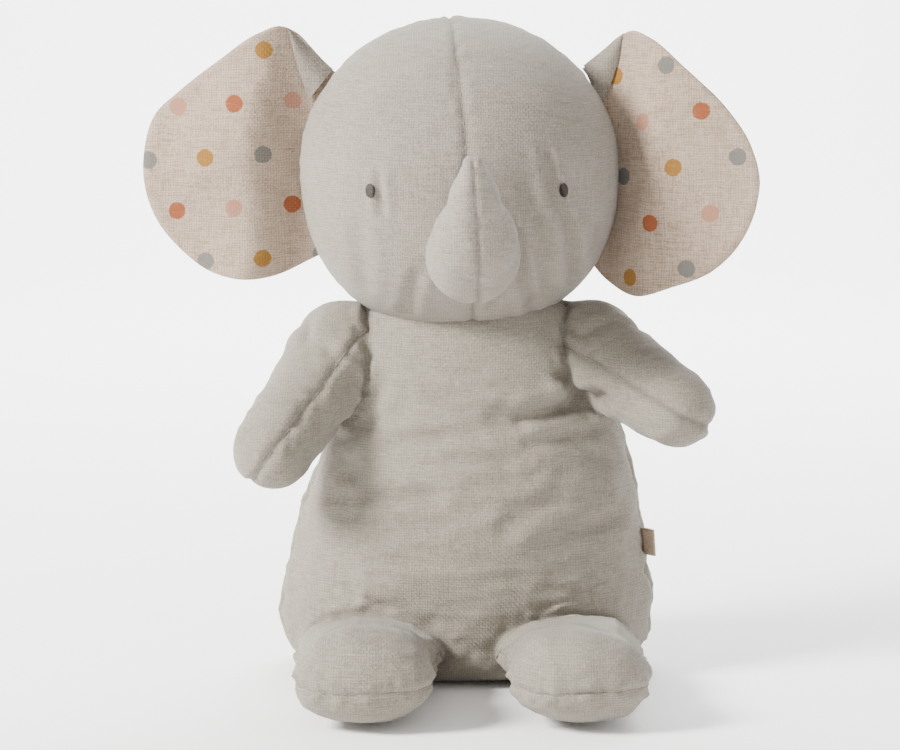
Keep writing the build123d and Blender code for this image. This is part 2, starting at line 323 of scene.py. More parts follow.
def body_shift_out(points):
    """How far the cloth of body, arms and legs stands out of the plain form."""
    out = slack(points, 0.9)
    front = smooth_step(-points[:, 1], 8, 26)
    out -= front * smooth_step(points[:, 2], 6, 20) * fold_depth(points, FRONT_FOLDS)
    side = np.abs(side_seam(points))
    for name in SIGN:
        side = np.where(in_arm(points, name), np.abs(arm_seam(points, name)), side)
    above_floor = smooth_step(points[:, 2], 0.5, 6)
    out -= above_floor * groove(side, 1.2, 1.6)
    out += above_floor * puckers(points, side, 0.95)
    out += above_floor * wrinkles(points)
    for name in SIGN:
        past = leg_seam(points, name)
        near = smooth_step(-points[:, 1], 24, 34) * (1 - smooth_step(points[:, 2], 54, 60))
        near *= smooth_step(points[:, 0] * SIGN[name], -6, 0)
        out -= near * above_floor * groove(past, 2.0, 1.7)
        out += near * above_floor * puckers(points, np.abs(past), 1.1)
        across = points[:, 0] * SIGN[name]
        rise = points[:, 2] - HIP_SEAM_LOW - HIP_SEAM_RISE * smooth_step(across, 14, 66)
        over = near * smooth_step(across, 18, 30) * smooth_step(-past, 0.5, 3)
        out -= over * groove(rise + noise(points, 9.0, 12), 0.8, 1.0)
        out += over * puckers(points, np.abs(rise), 0.8)
        on_leg = smooth_step(past, 0, 5) * near
        toe = points[:, 2] - LEG_SEAM_Z - 1.5 * noise(points, 15.0, 6)
        out -= on_leg * groove(toe, 1.1, 1.4)
        out += on_leg * puckers(points, np.abs(toe), 1.6)
        out -= on_leg * fold_depth(points, LEG_FOLDS) * smooth_step(points[:, 1], -84, -66)
        crease_shade = arm_crease(points, name)
        near = smooth_step(-points[:, 1], 2, 12) * smooth_step(points[:, 2], 78, 88)
        near *= smooth_step(points[:, 0] * SIGN[name], 16, 26)
        out -= near * groove(crease_shade, 2.2, 1.8)
        out += near * puckers(points, np.abs(crease_shade), 1.4)
        along = along_arm(points, name)
        on_arm = np.exp(-((along - 12) / 9.0) ** 2) * smooth_step(crease_shade, 1, 6)
        out -= on_arm * 1.3 * ridges(points * np.array([1, 0.6, 0.7]), 8.0, 41)
    return out


# ------------------------------------------------------------ the head's form
HEAD_UP = 56.0
HEAD_WIDTH = 59.5
HEAD_DEPTH = 55.5
HEAD_TALL = 55.5
HEAD_LOW = 60.5
HEAD_LOW_CURVE = 2.3
# the middle line of the trunk in the head's frame, whose -y is forward: y, z and radius
TRUNK_BALLS = [(-40, 27, 16.5), (-61, 28, 16.0), (-75, 35.5, 14.6), (-89, 50, 8.8), (-98.4, 61.8, 4.2)]
TRUNK_ROUND = 3.5
# folds of the face, in the head's frame and the same terms
FACE_FOLDS = [
    (28.5, 62, 30, 50, 1.8, 1.9), (30, 50, 36, 34, 2.4, 2.0), (36, 34, 38, 14, 2.4, 2.2),
    (24, 38, 27, 8, 1.7, 2.4), (17, 24, 22, 4, 2.2, 2.0), (-31.2, 58, -31, 44, 1.3, 1.4),
    (-20, 22, -24, 6, 1.1, 2.6),
    (12, 15, 6, 6, 1.8, 1.8), (48, 34, 49, 10, 1.5, 2.8), (-40, 40, -38, 16, 0.9, 3.0),
    (20, 50, 24, 36, 1.2, 2.2),
]


def ball_distance(points):
    """The head alone, for points in the head's frame."""
    x, y, z = points.T
    up = z - HEAD_UP
    tall = np.where(up > 0, HEAD_TALL, HEAD_LOW)
    power = np.where(up > 0, 2.0, HEAD_LOW_CURVE)
    level = np.sqrt((x / HEAD_WIDTH) ** 2 + (y / HEAD_DEPTH) ** 2)
    size = (level ** power + np.abs(up / tall) ** power) ** (1 / power)
    return (size - 1) * HEAD_TALL


def trunk_distance(points):
    """The trunk alone, for points in the head's frame."""
    form = None
    for first, second in zip(TRUNK_BALLS, TRUNK_BALLS[1:]):
        start = np.array([0, first[0], first[1]], float)
        end = np.array([0, second[0], second[1]], float)
        part = round_cone(points, start, end, first[2], second[2])
        form = part if form is None else smooth_min(form, part, 3.0)
    return form


def head_distance(points):
    """The head and trunk as one rounded form."""
    return smooth_min(ball_distance(points), trunk_distance(points), TRUNK_ROUND)


def trunk_past(points):
    """Above 0 on the trunk, past the crease where it comes out of the face."""
    return ball_distance(points) - trunk_distance(points)


def on_trunk(points):
    """True for points of the trunk, in the head's frame."""
    return (trunk_past(points) > 0) & (points[:, 1] < -35)


def centre_seam(points):
    """The seam down the middle of the head and trunk."""
    return points[:, 0] + 0.7 * noise(points, 13.0, 7)


def crown_seam(points):
    """The seam over the head from ear to ear."""
    return points[:, 1] + 0.6 * noise(points, 18.0, 9)


def head_shift_out(points):
    """How far the head's cloth stands out of the plain form, in the head's frame."""
    out = slack(points, 0.7)
    centre = np.abs(centre_seam(points))
    crown = np.abs(crown_seam(points))
    past = trunk_past(points)
    out -= groove(past, 0.9, 1.3) * smooth_step(-points[:, 1], 30, 40)
    out -= groove(centre, 0.9, 1.3)
    out += puckers(points, centre, 0.8)
    out -= groove(crown, 1.0, 1.5)
    out += puckers(points, crown, 0.5)
    front = smooth_step(-points[:, 1], 12, 30)
    out -= front * (1 - smooth_step(past, -2, 4)) * fold_depth(points, FACE_FOLDS)
    return out


# ------------------------------------------------------------ making meshes
def add_object(name, mesh):
    """A smooth object in the scene."""
    mesh.polygons.foreach_set("use_smooth", [True] * len(mesh.polygons))
    obj = bpy.data.objects.new(name, mesh)
    bpy.context.collection.objects.link(obj)
    return obj


def object_from(bm, name):
    """A smooth object in the scene from a finished bmesh."""
    mesh = bpy.data.meshes.new(name)
    bm.to_mesh(mesh)
    bm.free()
    return add_object(name, mesh)


def ball(radius, centre, stretch=(1, 1, 1)):
    """A starting ball for a form."""
    bm = bmesh.new()
    bmesh.ops.create_icosphere(bm, subdivisions=4, radius=1.0)
    shape = Matrix.Translation(Vector(centre)) @ Matrix.Diagonal(Vector((*(radius * np.array(stretch)), 1)))
    bmesh.ops.transform(bm, matrix=shape, verts=bm.verts)
    return bm


def chain(start, end, start_r, end_r, count, stretch=(1, 1, 1)):
    """Starting balls along a limb."""
    steps = np.linspace(0, 1, count)
    return [(start_r + (end_r - start_r) * t, start + (end - start) * t, stretch) for t in steps]


def joined_form(name, balls, voxel):
    """One closed mesh round a set of overlapping balls, in millimetres."""
    mesh = bpy.data.meshes.new(name)
    bm = bmesh.new()
    for radius, centre, stretch in balls:
        one = ball(radius, centre, stretch)
        part = bpy.data.meshes.new("part")
        one.to_mesh(part)
        one.free()
        bm.from_mesh(part)
        bpy.data.meshes.remove(part)
    bm.to_mesh(mesh)
    bm.free()
    obj = add_object(name, mesh)
    remesh = obj.modifiers.new("remesh", "REMESH")
    remesh.mode = "VOXEL"
    remesh.voxel_size = voxel
    result = evaluated_mesh(obj)
    bpy.data.objects.remove(obj)
    bpy.data.meshes.remove(mesh)
    return result


def evaluated_mesh(obj):
    """The mesh that an object's modifiers give."""
    bpy.context.view_layer.update()
    graph = bpy.context.evaluated_depsgraph_get()
    return bpy.data.meshes.new_from_object(obj.evaluated_get(graph))


def points_of(mesh):
    co = np.empty(len(mesh.vertices) * 3)
    mesh.vertices.foreach_get("co", co)
    return co.reshape(-1, 3)


def set_points(mesh, points):
    mesh.vertices.foreach_set("co", np.ascontiguousarray(points, float).ravel())
    mesh.update()


def gradient(distance, points, step=0.4):
    """How a distance grows along each axis."""
    columns = []
    for axis in range(3):
        move = np.zeros(3)
        move[axis] = step
        columns.append(distance(points + move) - distance(points - move))
    return np.stack(columns, axis=1) / (2 * step)


def settle(points, distance, rounds):
    """Move points onto the surface where distance is zero."""
    for _ in range(rounds):
        slope = gradient(distance, points)
        square = np.maximum((slope ** 2).sum(1), 0.05)
        move = (distance(points) / square)[:, None] * slope
        size = np.linalg.norm(move, axis=1)
        move *= np.minimum(1, 3.0 / np.maximum(size, 1e-9))[:, None]
        points = points - move
    return points


def relaxed(mesh, rounds):
    """Even out a mesh's faces."""
    bm = bmesh.new()
    bm.from_mesh(mesh)
    all_axes = {"use_axis_" + axis: True for axis in "xyz"}
    for _ in range(rounds):
        bmesh.ops.smooth_vert(bm, verts=bm.verts, factor=0.5, **all_axes)
    bm.to_mesh(mesh)
    bm.free()


def skin(name, balls, distance, voxel):
    """A fine, even mesh on the surface where distance is zero."""
    mesh = joined_form(name, balls, voxel)
    for _ in range(2):
        set_points(mesh, settle(points_of(mesh), distance, 4))
        relaxed(mesh, 2)
    set_points(mesh, settle(points_of(mesh), distance, 2))
    obj = add_object(name, mesh)
    finer = obj.modifiers.new("finer", "SUBSURF")
    finer.levels = 1
    finer.render_levels = 1
    fine = evaluated_mesh(obj)
    bpy.data.objects.remove(obj)
    set_points(fine, settle(points_of(fine), distance, 2))
    return fine


def cut_where(bm, field, mask=None):
    """Add edges to a mesh along the line where a field is zero."""
    bm.verts.ensure_lookup_table()
    bm.faces.ensure_lookup_table()
    place = bm.verts.layers.float_vector.new("place")
    co = np.array([v.co[:] for v in bm.verts])
    values = field(co)
    wanted = np.ones(len(co), bool) if mask is None else mask(co)
    for vert, value in zip(bm.verts, values):
        vert[place] = vert.co
        vert.co.z = value
    geom = set()
    for f in bm.faces:
        around = [v.index for v in f.verts]
        if wanted[around].all() and values[around].min() < 0 < values[around].max():
            geom.update([f], f.verts, f.edges)
    bmesh.ops.bisect_plane(bm, geom=list(geom), dist=0.02, plane_co=(0, 0, 0), plane_no=(0, 0, 1))
    for vert in bm.verts:
        vert.co = vert[place]
    bm.verts.layers.float_vector.remove(place)
    bm.verts.index_update()


def normals_of(distance, points):
    slope = gradient(distance, points)
    return slope / np.maximum(np.linalg.norm(slope, axis=1), 1e-9)[:, None]


def piece_from(bm, name, face_indices, finished, crease_shade):
    """One panel, with its own mesh in metres, from some faces of a form."""
    used = sorted({v.index for i in face_indices for v in bm.faces[i].verts})
    number = {old: new for new, old in enumerate(used)}
    faces = [[number[v.index] for v in bm.faces[i].verts] for i in face_indices]
    mesh = bpy.data.meshes.new(name)
    mesh.from_pydata((finished[used] * MM).tolist(), [], faces)
    # each point's amount of painted shade, for the cloth's material
    attribute = mesh.attributes.new("crease_shade", "FLOAT", "POINT")
    attribute.data.foreach_set("value", crease_shade[used].astype(np.float32))
    return add_object(name, mesh)


def border_lines(bm, finished, test):
    """The lines of edges between faces with different answers to a test, as lists of points."""
    answers = [test[f.index] for f in bm.faces]
    links = {}
    for edge in bm.edges:
        near = {answers[f.index] for f in edge.link_faces}
        if len(near) == 2 and None not in near:
            a, b = edge.verts[0].index, edge.verts[1].index
            links.setdefault(a, []).append(b)
            links.setdefault(b, []).append(a)
    lines = []
    while links:
        ends = [v for v, others in links.items() if len(others) == 1]
        here = ends[0] if ends else next(iter(links))
        line = [here]
        while links.get(here):
            after = links[here].pop()
            links[after].remove(here)
            line.append(after)
            here = after
        for key in [k for k, others in links.items() if not others]:
            del links[key]
        if len(line) > 5:
            lines.append(finished[line])
    return lines


THREAD_SIDES = 6


def thread(name, lines, radius=0.28):
    """A fine raised line of stitches along one or more lines of points."""
    bm = bmesh.new()
    for line in lines:
        smoothed = line.copy()
        smoothed[1:-1] = (line[:-2] + 2 * line[1:-1] + line[2:]) / 4
        rings = []
        for i, point in enumerate(smoothed):
            ahead = smoothed[min(i + 1, len(smoothed) - 1)] - smoothed[max(i - 1, 0)]
            length = np.linalg.norm(ahead)
            ahead = ahead / length if length > 1e-6 else np.array([0.0, 0, 1])
            aside = np.cross(ahead, [0.3, 0.5, 0.81])
            aside /= np.linalg.norm(aside)
            up = np.cross(ahead, aside)
            swell = radius * (0.8 + 0.35 * sin(i * 1.9))
            ring = []
            for k in range(THREAD_SIDES):
                angle = 2 * pi * k / THREAD_SIDES
                spot = point + swell * (cos(angle) * aside + sin(angle) * up)
                ring.append(bm.verts.new(spot * MM))
            rings.append(ring)
        for first, second in zip(rings, rings[1:]):
            for k in range(THREAD_SIDES):
                after = (k + 1) % THREAD_SIDES
                bm.faces.new([first[k], first[after], second[after], second[k]])
        bm.faces.new(rings[0][::-1])
        bm.faces.new(rings[-1])
    bmesh.ops.recalc_face_normals(bm, faces=bm.faces)
    return object_from(bm, name)


# ------------------------------------------------------------ materials
def new_material(name):
    material = bpy.data.materials.new(name)
    material.use_nodes = True
    nodes = material.node_tree.nodes
    nodes.clear()
    return material, nodes, material.node_tree.links


class Maker:
    """Short names for making and joining material nodes."""

    def __init__(self, nodes, links):
        self.nodes = nodes
        self.links = links

    def put(self, socket, value):
        if hasattr(value, "is_output") or hasattr(value, "links"):
            self.links.new(value, socket)
        else:
            socket.default_value = value

    def math(self, kind, a, b=0.0, c=0.0, clamp=False):
        node = self.nodes.new("ShaderNodeMath")
        node.operation = kind
        node.use_clamp = clamp
        for socket, value in zip(node.inputs, (a, b, c)):
            self.put(socket, value)
        return node.outputs[0]

    def times(self, a, b):
        return self.math("MULTIPLY", a, b)

    def plus(self, a, b):
        return self.math("ADD", a, b)

    def less(self, a, b):
        return self.math("SUBTRACT", a, b)

    def parts(self, vector):
        node = self.nodes.new("ShaderNodeSeparateXYZ")
        self.put(node.inputs[0], vector)
        return node.outputs

    def attribute(self, name, output):
        node = self.nodes.new("ShaderNodeAttribute")
        node.attribute_name = name
        return node.outputs[output]

    def noise(self, vector, scale, detail=2.0):
        node = self.nodes.new("ShaderNodeTexNoise")
        node.inputs["Scale"].default_value = scale
        node.inputs["Detail"].default_value = detail
        self.put(node.inputs["Vector"], vector)
        return node.outputs["Fac"]

    def stretched(self, vector, factors):
        node = self.nodes.new("ShaderNodeVectorMath")
        node.operation = "MULTIPLY"
        self.put(node.inputs[0], vector)
        node.inputs[1].default_value = factors
        return node.outputs[0]

    def ramp(self, value, low, high):
        node = self.nodes.new("ShaderNodeMapRange")
        node.interpolation_type = "SMOOTHSTEP"
        self.put(node.inputs["Value"], value)
        node.inputs["From Min"].default_value = low
        node.inputs["From Max"].default_value = high
        return node.outputs["Result"]

    def mix(self, factor, a, b):
        node = self.nodes.new("ShaderNodeMix")
        node.data_type = "RGBA"
        self.put(node.inputs[0], factor)
        self.put(node.inputs[6], a)
        self.put(node.inputs[7], b)
        return node.outputs[2]

    def surface(self, tone, height, strength, depth, settings):
        """The finished surface: a colour, a bump of some depth in metres, and shader settings."""
        rough = self.nodes.new("ShaderNodeBump")
        rough.inputs["Strength"].default_value = strength
        rough.inputs["Distance"].default_value = depth
        self.put(rough.inputs["Height"], height)
        shader = self.nodes.new("ShaderNodeBsdfPrincipled")
        self.put(shader.inputs["Base Color"], tone)
        self.put(shader.inputs["Normal"], rough.outputs[0])
        for name, value in settings.items():
            shader.inputs[name].default_value = value
        out = self.nodes.new("ShaderNodeOutputMaterial")
        self.put(out.inputs["Surface"], shader.outputs[0])


CLOTH_LEVEL = 0.53         # colours are given as seen; the bright studio asks for darker dyes


def dyed(rgb):
    """A cloth colour as the light values that nodes use."""
    return tuple(c * CLOTH_LEVEL for c in linear(rgb)[:3]) + (1.0,)


def linear(rgb):
    """A screen colour from 0 to 255 as the light values that nodes use."""
    parts = [(c / 255) for c in rgb]
    return tuple(c / 12.92 if c <= 0.04045 else ((c + 0.055) / 1.055) ** 2.4 for c in parts) + (1.0,)


THREAD_PITCH = 0.95        # millimetres between threads, about twice the likely real pitch
PLANES = {"x": ("Y", "Z"), "y": ("X", "Z"), "z": ("X", "Y")}


def weave_height(make, across, up):
    """Plain weave: threads that pass over and under each other."""
    a = make.times(across, pi / THREAD_PITCH)
    b = make.times(up, pi / THREAD_PITCH)
    sa = make.math("SINE", a)
    sb = make.math("SINE", b)
    over = make.math("GREATER_THAN", make.times(sa, sb), 0.0)
    warp = make.math("ABSOLUTE", sa)
    weft = make.math("ABSOLUTE", sb)
    kept = make.times(warp, over)
    other = make.times(weft, make.less(1.0, over))
    return make.plus(kept, other)


def linen(name, colour, dark, light, fleck, flecks=0.7, bump=0.7, sheen=0.15, pattern=None):
    """Woven linen with slubs, uneven threads and soft fading, with painted shade in the gaps of the weave
    and along seams, folds and creases.
    """
    material, nodes, links = new_material(name)
    make = Maker(nodes, links)
    in_mm = make.stretched(make.attribute("sewn_place", "Vector"), (1 / MM, 1 / MM, 1 / MM))
    wobble = nodes.new("ShaderNodeTexNoise")
    wobble.inputs["Scale"].default_value = 0.12
    links.new(in_mm, wobble.inputs["Vector"])
    bend = nodes.new("ShaderNodeVectorMath")
    bend.operation = "MULTIPLY_ADD"
    links.new(wobble.outputs["Color"], bend.inputs[0])
    bend.inputs[1].default_value = (1.6, 1.6, 1.6)
    links.new(in_mm, bend.inputs[2])
    cloth = bend.outputs[0]
    split = make.parts(cloth)
    sides = make.parts(make.attribute("sewn_facing", "Vector"))
    weights = [make.math("POWER", make.math("ABSOLUTE", side), 6.0) for side in sides]
    total = make.plus(make.plus(weights[0], weights[1]), weights[2])

    def over_sides(values):
        summed = None
        for weight, value in zip(weights, values):
            part = make.times(weight, value)
            summed = part if summed is None else make.plus(summed, part)
        return make.math("DIVIDE", summed, total)

    heights = []
    for key in ("x", "y", "z"):
        across, up = PLANES[key]
        heights.append(weave_height(make, split[across], split[up]))
    weave = over_sides(heights)

    # long thin noise along each thread direction: uneven yarn and slubs
    level = make.noise(make.stretched(cloth, (0.16, 0.16, 1.5)), 1.0, 2.0)
    upright_a = make.noise(make.stretched(cloth, (1.5, 1.0, 0.14)), 1.0, 2.0)
    yarn = make.plus(make.times(level, 0.55), make.times(upright_a, 0.45))
    slub_level = make.ramp(make.noise(make.stretched(cloth, (0.22, 0.22, 3.4)), 0.8, 2.0), 0.66, 0.78)
    slub_up = make.ramp(make.noise(make.stretched(cloth, (3.2, 2.4, 0.25)), 0.8, 2.0), 0.67, 0.79)
    slubs = make.math("MAXIMUM", slub_level, slub_up)
    patches = make.noise(in_mm, 0.022, 3.0)
    fine = make.noise(in_mm, 1.3, 1.0)

    tone = make.mix(make.ramp(yarn, 0.36, 0.58), dyed(dark), dyed(colour))
    tone = make.mix(make.times(make.ramp(patches, 0.35, 0.75), 0.35), tone, dyed(light))
    # painted shade in the low gaps of the weave between the threads
    weave_gap_shade = make.times(make.less(1.0, weave), 0.8)
    tone = make.mix(weave_gap_shade, tone, dyed([c * 0.84 for c in dark]))
    tone = make.mix(make.times(slubs, flecks), tone, dyed(fleck))
    tone = make.mix(make.times(make.ramp(fine, 0.5, 0.75), 0.5), tone, dyed(light))
    if pattern is not None:
        tone = pattern(make, tone, yarn)
    # painted shade: the cloth is painted darker along seams, folds, limb creases and under the head's lower
    # edge, where shade falls
    crease_shade_amount = make.math("MULTIPLY", make.attribute("crease_shade", "Fac"), 0.3, clamp=True)
    tone = make.mix(crease_shade_amount, tone, dyed([c * 0.55 for c in dark]))

    height = make.plus(make.times(weave, 0.5), make.times(yarn, 0.6))
    height = make.plus(height, make.times(slubs, 0.5))
    make.surface(tone, height, bump, 0.22 * MM, {
        "Roughness": 0.93, "Specular IOR Level": 0.18, "Sheen Weight": sheen, "Sheen Roughness": 0.45})
    return material


DOT_RADIUS = 3.15
# the place of one dot and the two steps between dots, on the flat cloth
DOTS = {
    "right": {"origin": (33.9, 3.9), "along": (-21.2, 1.1), "up": (-10.8, 19.7)},
    "left": {"origin": (25.0, 7.0), "along": (22.0, 6.0), "up": (7.0, 21.2)},
}
MUSTARD, GREY_DOT, RUST, PINK = (172, 124, 56), (134, 129, 122), (172, 98, 62), (198, 145, 120)


def dots(side):
    """Printed dots on a slanting lattice, in alternating colours, on flat cloth coordinates."""
    plan = DOTS[side]
    (ax, ay), (bx, by) = plan["along"], plan["up"]
    area = ax * by - ay * bx

    def paint(make, tone, yarn):
        flat = make.parts(make.attribute("flat", "Vector"))
        u = make.less(flat[0], plan["origin"][0])
        v = make.less(flat[1], plan["origin"][1])
        column = make.math("DIVIDE", make.less(make.times(u, by), make.times(v, bx)), area)
        row = make.math("DIVIDE", make.less(make.times(v, ax), make.times(u, ay)), area)
        i = make.math("ROUND", column)
        j = make.math("ROUND", row)
        di = make.less(column, i)
        dj = make.less(row, j)
        du = make.plus(make.times(di, ax), make.times(dj, bx))
        dv = make.plus(make.times(di, ay), make.times(dj, by))
        far = make.math("SQRT", make.plus(make.times(du, du), make.times(dv, dv)))
        far = make.plus(far, make.times(make.less(yarn, 0.5), 0.9))
        inside = make.less(1.0, make.ramp(far, DOT_RADIUS - 0.12, DOT_RADIUS + 0.18))
        odd_i = make.math("ABSOLUTE", make.math("MODULO", i, 2.0))
        odd_j = make.math("ABSOLUTE", make.math("MODULO", j, 2.0))
        even_row = make.mix(odd_i, dyed(MUSTARD), dyed(GREY_DOT))
        odd_row = make.mix(odd_i, dyed(RUST), dyed(PINK))
        ink = make.mix(odd_j, even_row, odd_row)
        wear = make.times(make.ramp(yarn, 0.5, 0.8), 0.25)
        return make.mix(make.times(inside, make.less(1.0, wear)), tone, ink)

    return paint


GREY = (186, 176, 162)
GREY_DARK = (160, 150, 136)
GREY_LIGHT = (199, 190, 177)
FLECK = (232, 224, 212)
MATERIALS = {
    "head": linen("head_linen", GREY, GREY_DARK, GREY_LIGHT, FLECK),
    "body": linen("body_linen", (182, 173, 157), (157, 148, 133), (195, 187, 172), FLECK),
    "ear_back": linen("ear_back_linen", (174, 164, 150), (148, 138, 125), (187, 177, 163), FLECK),
}
for side in SIGN:
    MATERIALS["lining_" + side] = linen(
        "ear_lining_" + side, (222, 199, 177), (186, 158, 133), (231, 210, 189), (132, 102, 78),
        flecks=0.66, bump=0.7, sheen=0.1, pattern=dots(side))


def simple_thread(name, colour, dark, scale, roughness, stretch=(1, 1, 1)):
    """Spun thread: fine lines of light and dark, with a bump."""
    material, nodes, links = new_material(name)
    make = Maker(nodes, links)
    place = nodes.new("ShaderNodeTexCoord").outputs["Object"]
    in_mm = make.stretched(place, tuple(f / MM for f in stretch))
    lines = make.noise(in_mm, scale, 3.0)
    tone = make.mix(make.ramp(lines, 0.35, 0.65), dyed(dark), dyed(colour))
    make.surface(tone, lines, 0.6, 0.15 * MM, {"Roughness": roughness})
    return material


MATERIALS["thread"] = simple_thread("seam_thread", (168, 161, 150), (136, 129, 118), 2.4, 0.9)
MATERIALS["eye"] = simple_thread("eye_thread", (66, 50, 42), (30, 22, 18), 1.0, 0.7, (0.6, 0.6, 4.0))
MATERIALS["tape"] = simple_thread("label_tape", (236, 212, 184), (206, 180, 152), 1.0, 0.8, (0.6, 0.6, 3.2))


def keep_as_sewn(mesh):
    """Keep each point's place and direction at rest, so that the weave bends with the cloth."""
    mesh.update()
    for name, source in (("sewn_place", "co"), ("sewn_facing", "normal")):
        values = np.empty(len(mesh.vertices) * 3, np.float32)
        mesh.vertices.foreach_get(source, values)
        mesh.attributes.new(name, "FLOAT_VECTOR", "POINT").data.foreach_set("vector", values)


def dress(obj, material, nodes, body=None, blend=None):
    """Give a piece its material, hide its CAD nodes, and hang it on a body's empty; a piece given a blend
    only has its place baked into its mesh.
    """
    keep_as_sewn(obj.data)
    obj.data.materials.clear()
    obj.data.materials.append(MATERIALS[material])
    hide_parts(*nodes)
    if blend:
        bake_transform(obj)
    else:
        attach(obj, body)


def stitches(name, bm, finished, inside, first, nodes, radius=0.28, body=None, blend=None):
    """Raised stitches on the line inside a region between its first part and the rest."""
    lines = border_lines(bm, finished, [b if a else None for a, b in zip(inside, first)])
    dress(thread(name, lines, radius), "thread", nodes, body=body, blend=blend)


# ------------------------------------------------------------ body, arms and legs
# how far from its root each limb's bend reaches; the pieces are not bent by it
ARM_BEND, LEG_BEND, TRUNK_BEND = 19.0, 26.0, 20.0
FORM_STEP = 3.0            # size of a form's first, coarse faces


def near_line(field, points, side):
    """True for points on the line where a field is zero, on one side of the body."""
    return (np.abs(field) < 0.06) & (points[:, 0] * SIGN[side] > 1)


def bend_from(line, toward, length):
    """Where a limb starts and stops bending, from the line of its root and its free end."""
    middle = line.mean(axis=0)
    normal = np.linalg.svd(line - middle, full_matrices=False)[2][2]
    normal = normal * np.sign((toward - middle) @ normal)
    start = middle + normal * ((line - middle) @ normal).max()
    return start, start + normal * length


def cut_points(bm):
    """All places of a form once its cuts are made."""
    bm.verts.index_update()
    bm.faces.ensure_lookup_table()
    bm.faces.index_update()
    return np.array([v.co[:] for v in bm.verts])


def face_centres(bm):
    return np.array([f.calc_center_median()[:] for f in bm.faces])


def make_body():
    """Panels and seams of the body, arms and legs, cut from one smooth form."""
    balls = [(1.0, (0, 0, z), (a, b, 22)) for z, a, b in
             ((24, 66, 43), (45, 62, 42), (68, 57, 40), (90, 50, 36), (112, 42, 32), (122, 36, 28))]
    for side in SIGN:
        balls += chain(SHOULDER[side], HAND[side], SHOULDER_R, HAND_R, 7)
        hip = np.array([HIP[side][0], HIP[side][1], THIGH_R])
        foot = np.array([HIP[side][0], FOOT_Y, FOOT_R])
        balls += chain(hip, foot, THIGH_R - 1, FOOT_R - 1, 7, stretch=(1.45, 1, 1))
    mesh = skin("body", balls, body_distance, FORM_STEP)
    bm = bmesh.new()
    bm.from_mesh(mesh)
    for side in SIGN:
        cut_where(bm, lambda p: arm_crease(p, side), lambda p: near_arm(p, side))
        cut_where(bm, lambda p: leg_seam(p, side), lambda p: near_leg(p, side))
    cut_where(bm, side_seam, lambda p: ~(in_arm(p, "left") | in_arm(p, "right")))
    for side in SIGN:
        cut_where(bm, lambda p: arm_seam(p, side),
                  lambda p: in_arm(p, side) | near_line(arm_crease(p, side), p, side))
        cut_where(bm, lambda p: p[:, 2] - LEG_SEAM_Z,
                  lambda p: in_leg(p, side) | near_line(leg_seam(p, side), p, side))
    points = cut_points(bm)
    shift = body_shift_out(points)
    normals = normals_of(body_distance, points)
    finished = points + normals * shift[:, None]
    finished[:, 2] = np.maximum(finished[:, 2], 0.0)
    # painted shade: how much darker the cloth is painted along the side and arm seams, in the leg and arm
    # creases and in the front folds
    side_near = groove(side_seam(points), 1, 1.0)
    for side in SIGN:
        side_near = np.where(in_arm(points, side), groove(arm_seam(points, side), 1, 1.0), side_near)
    by_legs = (points[:, 2] < 58) & (points[:, 1] < -24)
    crease_shade_amount = [groove(leg_seam(points, s), 1, 1.3) * by_legs for s in SIGN]
    crease_shade_amount += [groove(arm_crease(points, s), 1, 1.5) * smooth_step(-points[:, 1], 2, 12) for s in SIGN]
    leg_near = np.max(crease_shade_amount, axis=0)
    folds = np.clip(fold_depth(points, FRONT_FOLDS) / 5, 0, 0.5) * smooth_step(-points[:, 1], 8, 26)
    crease_shade = np.clip(side_near + leg_near + folds, 0, 1)

    centres = face_centres(bm)
    region = np.full(len(centres), "body", dtype=object)
    for side in SIGN:
        arm = in_arm(centres, side)
        leg = in_leg(centres, side)
        region[arm] = "arm_" + side
        region[leg] = "leg_" + side
    back = side_seam(centres) > 0
    for side in SIGN:
        back = np.where(in_arm(centres, side), arm_seam(centres, side) > 0, back)
    upper = centres[:, 2] > LEG_SEAM_Z

    for place, chosen, inside in (("front", ~back, ["body_stuffing"]), ("back", back, [])):
        faces = np.flatnonzero((region == "body") & chosen)
        obj = piece_from(bm, "body_" + place, faces, finished, crease_shade)
        nodes = ["body_" + place + "_panel"] + inside
        dress(obj, "body", nodes, body="torso")
    for side in SIGN:
        foot = np.array([HIP[side][0], FOOT_Y, FOOT_R])
        for limb, panels, tip, length in (
                ("arm_", (("_front", ~back), ("_back", back)), HAND[side], ARM_BEND),
                ("leg_", (("_upper", upper), ("_sole", ~upper)), foot, LEG_BEND)):
            name = limb + side
            on_limb = region == name
            root = np.concatenate(border_lines(bm, finished, list(on_limb)))
            hold = ("torso", name, *bend_from(root, tip, length))
            for (place, chosen), inside in zip(panels, ([name + "_stuffing"], [])):
                obj = piece_from(bm, name + place, np.flatnonzero(on_limb & chosen), finished, crease_shade)
                nodes = [name + place + "_panel"] + inside
                dress(obj, "body", nodes, blend=hold)
            stitches(name + "_stitches", bm, finished, on_limb, panels[1][1], [name + "_seam"], blend=hold)
        on_side = (region == "body") & (centres[:, 0] * SIGN[side] > 0) & (centres[:, 2] > 4)
        stitches("body_" + side + "_stitches", bm, finished, on_side, back,
                 ["body_" + side + "_side_seam"], body="torso")
    bm.free()


# ------------------------------------------------------------ head and trunk
NECK_EDGE = -0.5           # height of the head's lower edge, at its middle, over the neck point
NECK_BEND = (1.0, 8.0)     # heights over the neck point that bound the head's bend; the pieces are not bent by them
HEAD_THREAD_R = 0.22
NECK_THREAD_R = 0.35


def neck_edge(points):
    """How far a point of the head's frame is above the head's lower edge."""
    return points[:, 2] - NECK_EDGE - 0.06 * np.abs(points[:, 0])


